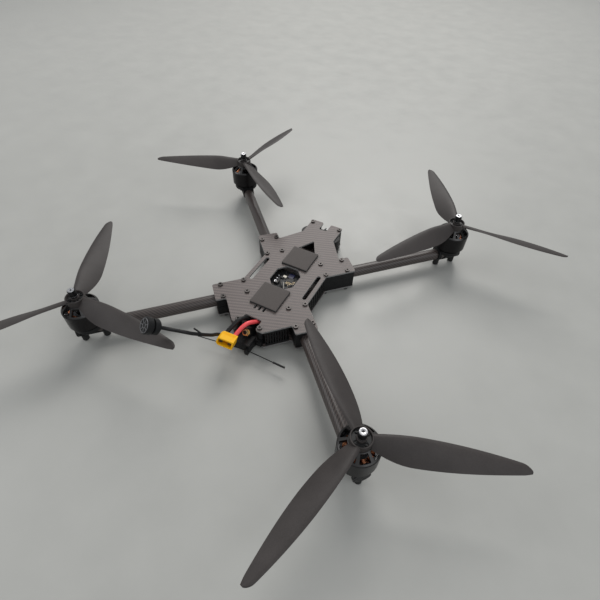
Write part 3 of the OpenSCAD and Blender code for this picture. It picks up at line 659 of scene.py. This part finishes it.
def add_propeller(q):
    """Three lofted blades on a hub with a ring-shaped recess."""
    pile = Pile()
    count, stations, span = 12, 56, PROP_R - 0.25 - BLADE_ROOT
    radii = [BLADE_ROOT + span * (1 - (1 - i / (stations - 1)) ** 1.6) for i in range(stations)]
    blade = [p for r in radii for p in blade_ring(r, PROP_SENSE[q], count)]
    for i in range(3):
        turn = Matrix.Rotation(math.radians(PROP_ANGLE[q] + 120 * i), 4, "Z")
        pile.add(blade, skin(stations, 2 * count), on_axis(q, BLADE_Z) @ turn)
    hub = [
        (2.5, SEAT_Z), (9.1, SEAT_Z), (9.5, SEAT_Z + 0.4), (9.5, HUB_TOP),
        (9.2, HUB_TOP + 0.35), (8.5, HUB_TOP + 0.35), (8.25, HUB_TOP),
        (8.1, HUB_FLOOR), (4.5, HUB_FLOOR), (4.3, HUB_TOP - 0.2), (4.1, HUB_TOP), (2.5, HUB_TOP),
    ]
    pile.add(*ring_lathe(hub, 72), on_axis(q))
    obj = pile.piece("prop_" + q, True, 38)
    finish_piece(obj, "rotor_" + q, "prop", "prop_plastic", "propeller_" + q)


def add_hub_pits(q):
    """Painted shade in the hub's recess: a near-black ring on its floor, with four near-black sleeves on it.
    """
    sx, sy = QUADRANTS[q]
    pits = Pile()
    # Painted shade: a near-black ring laid on the recess floor.
    low, high = HUB_FLOOR + 0.02, HUB_FLOOR + 0.1
    pits.add(*ring_lathe([(4.6, low), (8.05, low), (8.05, high), (4.6, high)]), on_axis(q))
    sleeve = [(0, 0.05), (1.7, 0.05), (1.7, 0.9), (1.45, 1.05), (1.25, 0.9), (1.2, 0.2), (0, 0.2)]
    for k in range(4):
        t = math.radians(PROP_ANGLE[q] + 45 + 90 * k)
        spot = (sx * REACH + 6.3 * math.cos(t), sy * REACH + 6.3 * math.sin(t), HUB_FLOOR)
        pits.add(*lathe(sleeve, 24), Matrix.Translation(spot))
    finish_piece(pits.piece("prop_pit_shade_" + q), "rotor_" + q, "pit", "prop_plastic")


for q in QUADRANTS:
    add_propeller(q)
    add_hub_pits(q)


# ---------- motors ----------

STATOR_Z = 28.5
STATOR_H = 12
TEETH = 12
TURNS = 6
WIRE_R = 0.31
NUT_TOP = 70.35


def coil_loop(radius, half_w, low, high):
    """One turn of wire round a tooth: a rounded rectangle at this radius, in the plane across the tooth."""
    corner = 0.7
    path = []
    for cx, cz, a0 in [(half_w, high, 0), (-half_w, high, 90), (-half_w, low, 180), (half_w, low, 270)]:
        sx, sz = math.copysign(1, cx), 1 if cz == high else -1
        for k in range(4):
            a = math.radians(a0 + 30 * k)
            y, z = cx - sx * corner + corner * math.cos(a), cz - sz * corner + corner * math.sin(a)
            path.append((radius, y, z))
    return path


def add_windings():
    """Turns of wire side by side on every stator tooth."""
    pile = Pile()
    for q in QUADRANTS:
        for i in range(TEETH):
            place = at_motor(q) @ Matrix.Rotation(math.radians(360 / TEETH * i), 4, "Z")
            for k in range(TURNS):
                loop = coil_loop(10.15 + 0.58 * k, 1.98, STATOR_Z - 0.98, STATOR_Z + STATOR_H + 0.98)
                pile.add(*tube(loop, WIRE_R, 6, True), place)
    finish_piece(pile.piece("coils", True, 60), "airframe", "copper", "copper", "windings")


add_windings()


def add_nut_caps():
    """Bright rings on each prop nut, its chamfered hexagon, and the small socket in the shaft's end, coloured
    near black as painted shade.
    """
    flats = [(3.95 * math.cos(math.pi / 3 * k), 3.95 * math.sin(math.pi / 3 * k)) for k in range(6)]
    rows = [(0.94, 64.05), (1.0, 64.35), (1.0, 69.5), (0.92, 69.95)]
    washer = [(3.12, 61.35), (3.5, 61.6), (3.5, 63.4), (3.12, 63.7)]
    lip = [
        (1.0, NUT_TOP), (3.25, NUT_TOP), (3.35, 70.5), (3.2, 70.75), (2.4, 70.82), (1.6, 70.75), (1.0, 70.6),
    ]
    well = [(0, 70.2), (1.05, 70.2), (1.05, 70.62), (0.85, 70.62), (0.8, 70.3), (0, 70.3)]
    for q in QUADRANTS:
        trim, hexagon, socket = Pile(), Pile(), Pile()
        trim.add(*ring_lathe(washer), on_axis(q))
        trim.add(*ring_lathe(lip), on_axis(q))
        finish_piece(trim.piece("nut_trim_" + q), "rotor_" + q, "silver", "nut_metal")
        hexagon.add([(x * k, y * k, z) for k, z in rows for x, y in flats], skin(4, 6), on_axis(q))
        finish_piece(hexagon.piece("nut_body_" + q, True, 25), "rotor_" + q, "nut", "nut_metal")
        # Painted shade: a near-black dish in the socket in the shaft's end.
        socket.add(*lathe(well, 24), on_axis(q))
        finish_piece(socket.piece("nut_socket_shade_" + q), "rotor_" + q, "pit", "nut_metal")


add_nut_caps()


# ---------- pads ----------

PAD_HALF, PAD_THICK, PLATE_TOP = 17.0, 3.0, 27


def add_pad(name, centre_y):
    """A cut foam pad: a crowned top with soft corners and sides that pull in a little between them."""
    half, thick, n = PAD_HALF, PAD_THICK, 24
    rows = []
    for level in range(7):
        u = level / 6
        pull = 0.35 * math.sin(math.pi * u)
        ring = []
        for k in range(4 * n):
            side, t = divmod(k, n)
            t = 2 * t / n - 1
            bow = 0.25 * (1 - t * t)
            x, y = [(t, -1), (1, t), (-t, 1), (-1, -t)][side]
            r = half - 0.15 - pull - bow
            corner = max(0.0, abs(t) - 0.9) * 0.6
            ring.append((x * r * (1 - corner * 0.1), y * r * (1 - corner * 0.1), thick * u))
        rows.append(ring)
    top = []
    for s in (0.985, 0.9, 0.7, 0.45, 0.2):
        top.append([(x * s, y * s, thick - 0.25 + 0.25 * (1 - s * s) ** 0.5) for x, y, z in rows[-1]])
    rows[-1] = [(x * 0.997, y * 0.997, thick - 0.3) for x, y, z in rows[-1]]
    rings = rows + top
    points = [(x + 1, y + centre_y, z + PLATE_TOP) for ring in rings for x, y, z in ring]
    obj = add_mesh(name, points, skin(len(rings), 4 * n), True, 50)
    finish_piece(obj, "airframe", "foam", "pad_foam", "foam_pad_" + name.split("_")[1])


add_pad("pad_front", 36)
add_pad("pad_rear", -36)


# ---------- electronics under the window ----------

FC_TOP = 18.6
CHIP_AT, CHIP_SIDE = (2, 12), 7
SMALL_PARTS = 30
WIRE_GAUGE_R = 0.42


def add_parts(name, key, boxes):
    """One piece of blocks that stand on the board, each given as its size and its centre."""
    pile = Pile()
    for size, at in boxes:
        pile.add(*block(size, at))
    finish_piece(pile.piece(name), "airframe", key, "circuit")


def add_caps():
    """Three bright round cans at the left of the window."""
    pile = Pile()
    for x, y, r, top in ((-10.6, -4.5, 1.9, 2.6), (-11.5, 1.5, 0.9, 1.6), (-12.2, 6.5, 0.9, 1.4)):
        profile = [
            (0, 0), (r, 0), (r, top - 0.4), (r - 0.4, top), (r * 0.55, top),
            (r * 0.4, top - 0.15), (0, top - 0.15),
        ]
        pile.add(*lathe(profile, 32), Matrix.Translation((x, y, FC_TOP)))
    finish_piece(pile.piece("board_cans"), "airframe", "silver", "circuit")


def add_electronics():
    """The parts in sight on the board: a chip with its legs, small parts, two sockets, cans and wires."""
    cx, cy = CHIP_AT
    add_parts("chip_blue", "chip_blue", [((CHIP_SIDE, CHIP_SIDE, 1.2), (cx, cy, FC_TOP + 0.6))])
    legs = []
    for k in range(9):
        d = -3 + 0.75 * k
        legs += [((0.3, 0.8, 0.3), (cx + d, cy + side * 3.8, FC_TOP + 0.3)) for side in (-1, 1)]
        legs += [((0.8, 0.3, 0.3), (cx + side * 3.8, cy + d, FC_TOP + 0.3)) for side in (-1, 1)]
    small = []
    for k in range(SMALL_PARTS):
        x, y = random.uniform(-9, 12), random.uniform(-13, 8)
        length, width = random.choice((0.6, 1.0, 1.6)), random.choice((0.5, 0.8))
        small.append(((length, width, 0.5), (x, y, FC_TOP + 0.28)))
    add_parts("chip_legs", "solder", legs + small[:6])
    rows = [((1.0, 2.0, 0.6), (1.5 + 1.7 * k, y, FC_TOP + 0.35)) for k in range(6) for y in (4.2, 1.2)]
    rows += [((1.1, 1.2, 0.6), (0.6 + 1.9 * k, -1, FC_TOP + 0.35)) for k in range(5)]
    add_parts("parts_tan", "tan", small[6:12] + rows)
    chips = [
        ((5, 5, 1), (-2.5, -9, FC_TOP + 0.5)),
        ((3, 4.5, 1.2), (8.5, -4, FC_TOP + 0.6)),
        ((4.5, 3, 1.1), (2, -3.5, FC_TOP + 0.55)),
    ]
    add_parts("parts_black", "chip", small[12:] + chips)
    add_parts("socket_white", "ivory", [((4.2, 3.0, 2.0), (-4.5, 7.5, FC_TOP + 1.0))])
    add_parts("socket_rear", "ivory", [((6.0, 2.2, 1.8), (5, -13.5, FC_TOP + 0.9))])
    add_caps()
    routes = {
        "wire_white": [[(4.6, -12.6, 20.2), (3, -9, 21.4), (0.5, -5, 21), (-2, -1, 19.3)]],
        "wire_grey": [[(6, -12.6, 20.2), (6.5, -8, 21.4), (9, -3, 21), (14, 2, 19.5)]],
        "wire_black": [
            [(3.2, -12.6, 20.2), (0, -9, 21.6), (-5, -4, 21), (-9, 4, 19.4)],
            [(-4.3, 9, 20.2), (-5, 12.5, 21.9), (-9, 17.5, 20), (-12, 22, 14)],
        ],
    }
    for key, paths in routes.items():
        pile = Pile()
        for route in paths:
            pile.add(*tube(spline(route, 8), WIRE_GAUGE_R, 8))
        finish_piece(pile.piece("fc_" + key, True, 60), "airframe", key, "circuit")


add_electronics()


# ---------- rear: connector, antenna ----------

def at_connector():
    """The place of the battery connector, as it hangs on its leads."""
    turn = Matrix.Rotation(math.radians(15), 4, "Z")
    tilt = Matrix.Rotation(math.radians(-21), 4, "X")
    roll = Matrix.Rotation(math.radians(13), 4, "Y")
    return Matrix.Translation((-8.5, -100.5, 29.6)) @ turn @ tilt @ roll @ Matrix.Translation((0, -14, -9))


def add_connector_trim():
    """Grip ribs on the connector's wide sides, and painted shade in its mouth: a darker amber sheet on its
    floor.
    """
    place = at_connector()
    ribs = Pile()
    for k in range(4):
        for z in (9.1, -0.1):
            ribs.add(*block((13.0, 0.5, 0.35), (0.8, 9.0 + 1.2 * k, z)), place)
    finish_piece(ribs.piece("connector_ribs"), "airframe", "amber", "connector_amber")
    # Painted shade: a darker amber sheet laid in the connector's mouth.
    inside = Pile()
    inside.add(*block((14.3, 0.4, 5.8), (0, 6.85, 4.5)), place)
    finish_piece(inside.piece("connector_shade_sheet"), "airframe", "amber_painted_shade", "connector_amber")


add_connector_trim()


JACK_AT = (1.2, -79, 13.4)


def add_jack_insert():
    """Painted shade inside the threaded socket: a near-black core with its small centre contact."""
    place = Matrix.Translation(JACK_AT) @ Matrix.Rotation(math.radians(45), 4, "X")
    core = Pile()
    core.add(*lathe([(0, 12.4), (2.2, 12.4), (2.2, 13.4), (0.75, 13.4), (0.7, 12.9), (0, 12.9)], 36), place)
    finish_piece(core.piece("jack_core_shade"), "airframe", "pit", "gold")


add_jack_insert()


HEAD_DIRECTION = Vector((-0.42, -0.65, 0.65))
HEAD_LENGTH = 15
TIE_POINT = 9  # the point of the antenna's route that the tie is at


def facing(at, direction):
    """The place at a point, with Z along the direction."""
    turn = direction.normalized().to_track_quat("Z", "Y").to_matrix().to_4x4()
    return Matrix.Translation(Vector(at)) @ turn


def add_antenna_disc():
    """Plain rings and spokes on the antenna head's face."""
    place = facing(ANTENNA_ROUTE[-1], HEAD_DIRECTION)
    low, high = HEAD_LENGTH - 0.05, HEAD_LENGTH + 0.3
    trim = Pile()
    for r in (6.6, 2.3):
        trim.add(*ring_lathe([(r - 0.3, low), (r + 0.3, low), (r + 0.2, high), (r - 0.2, high)]), place)
    for k in range(7):
        spoke = Matrix.Rotation(2 * math.pi * k / 7, 4, "Z")
        trim.add(*block((3.6, 0.6, 0.4), (4.5, 0, HEAD_LENGTH + 0.1)), place @ spoke)
    finish_piece(trim.piece("antenna_disc"), "airframe", "face_grey", "printed_black")


def add_lead_tie():
    """A tie round the antenna lead, with its stub standing off."""
    before, at, after = (Vector(p) for p in ANTENNA_ROUTE[TIE_POINT - 1:TIE_POINT + 2])
    tie = Pile()
    tie.add(*ring_lathe([(1.75, -1.2), (2.3, -1.1), (2.3, 1.1), (1.75, 1.2)], 32), facing(at, after - before))
    tail = [(-21.5, -127.4, 52.0), (-23.8, -127.5, 53.9), (-27.0, -128.8, 57.4)]
    tie.add(*tube(spline(tail, 6), 0.85, 10))
    finish_piece(tie.piece("lead_tie", True, 40), "airframe", "wire_black", "wire_black")


add_antenna_disc()
add_lead_tie()


# ---------- stage ----------

FLOOR_Z = -0.004  # m, under the feet
FLOOR_HALF = 6.0
WORLD_COLOR, WORLD_STRENGTH = (0.9, 0.93, 0.95, 1), 0.42
LIGHTS = [  # name, place in m, width in m, power in W, colour
    ("key", (-0.5, 1.6, 1.7), 1.4, 30, (1.0, 0.98, 0.95)),
    ("fill", (1.5, -0.6, 1.5), 1.6, 10, (0.95, 0.98, 1.0)),
    ("side", (-1.7, -0.7, 1.3), 1.2, 9, (1.0, 1.0, 1.0)),
]


def add_stage():
    """A plain floor, an even sky and three soft lights."""
    mesh = bpy.data.meshes.new("floor")
    corners = [(-1, -1), (1, -1), (1, 1), (-1, 1)]
    mesh.from_pydata([(x * FLOOR_HALF, y * FLOOR_HALF, FLOOR_Z) for x, y in corners], [], [(0, 1, 2, 3)])
    floor = bpy.data.objects.new("floor", mesh)
    SCENE.collection.objects.link(floor)
    mesh.materials.append(M["floor"])
    world = bpy.data.worlds.new("world")
    world.use_nodes = True
    background = world.node_tree.nodes["Background"]
    background.inputs[0].default_value = WORLD_COLOR
    background.inputs[1].default_value = WORLD_STRENGTH
    SCENE.world = world
    for name, place, width, power, color in LIGHTS:
        data = bpy.data.lights.new(name, "AREA")
        data.size = width
        data.energy = power
        data.color = color
        light = bpy.data.objects.new(name, data)
        light.location = place
        light.rotation_euler = (-Vector(place)).to_track_quat("-Z", "Y").to_euler()
        SCENE.collection.objects.link(light)
    SCENE.view_settings.view_transform = "Standard"


add_stage()
